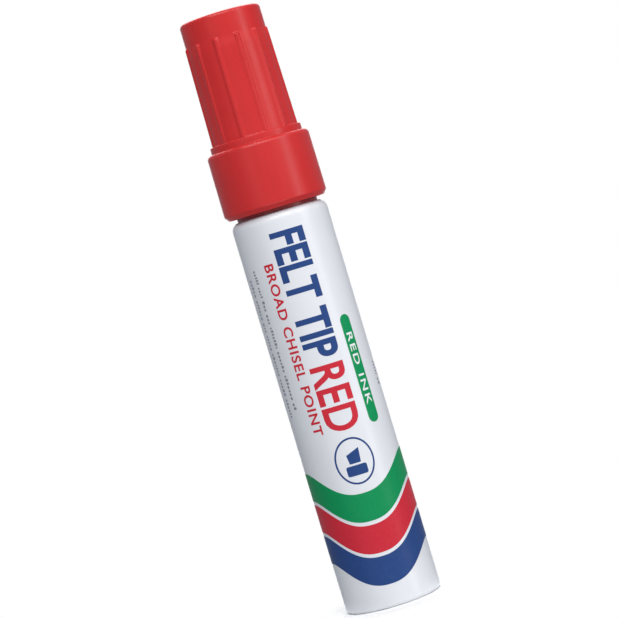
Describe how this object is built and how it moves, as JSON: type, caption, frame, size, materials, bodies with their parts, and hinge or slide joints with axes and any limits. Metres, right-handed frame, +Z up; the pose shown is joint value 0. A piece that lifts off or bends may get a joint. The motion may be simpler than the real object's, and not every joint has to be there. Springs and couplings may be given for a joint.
{
  "type": "felt tip marker",
  "caption": "Jumbo felt tip marker with a round metal barrel, a wide chisel nib and a ribbed pull-off cap with a wide skirt.",
  "frame": {"origin": "centre of the base, on the plane that the marker stands on", "axes": "+Z up along the marker's axis, from the base to the top of the cap; X lies along the wide side of the nib, whose tip is high on the +X side; -Y is the printed front"},
  "size_m": [0.0262, 0.0262, 0.1509],
  "materials": {
    "barrel_lacquer": "white satin lacquer with printed colour bands over drawn aluminium",
    "section_plastic": "moulded polypropylene, satin",
    "nib_felt": "pressed felt soaked with red ink",
    "ink_fibre": "bundled fibre soaked with red ink",
    "clear_film": "thin plastic film",
    "cap_plastic": "moulded polypropylene, satin gloss",
    "liner_plastic": "natural polyethylene"
  },
  "bodies": {
    "marker_body": {"barrel": "barrel_lacquer", "nib_holder": "section_plastic", "nib": "nib_felt", "reservoir_core": "ink_fibre", "reservoir_film": "clear_film"},
    "cap": {"cap_shell": "cap_plastic", "inner_cap": "liner_plastic"}
  },
  "joints": [
    {"name": "cap_pull", "type": "slide", "parent": "marker_body", "child": "cap", "axis": [0, 0, 1], "range_m": [0, 0.06]}
  ]
}
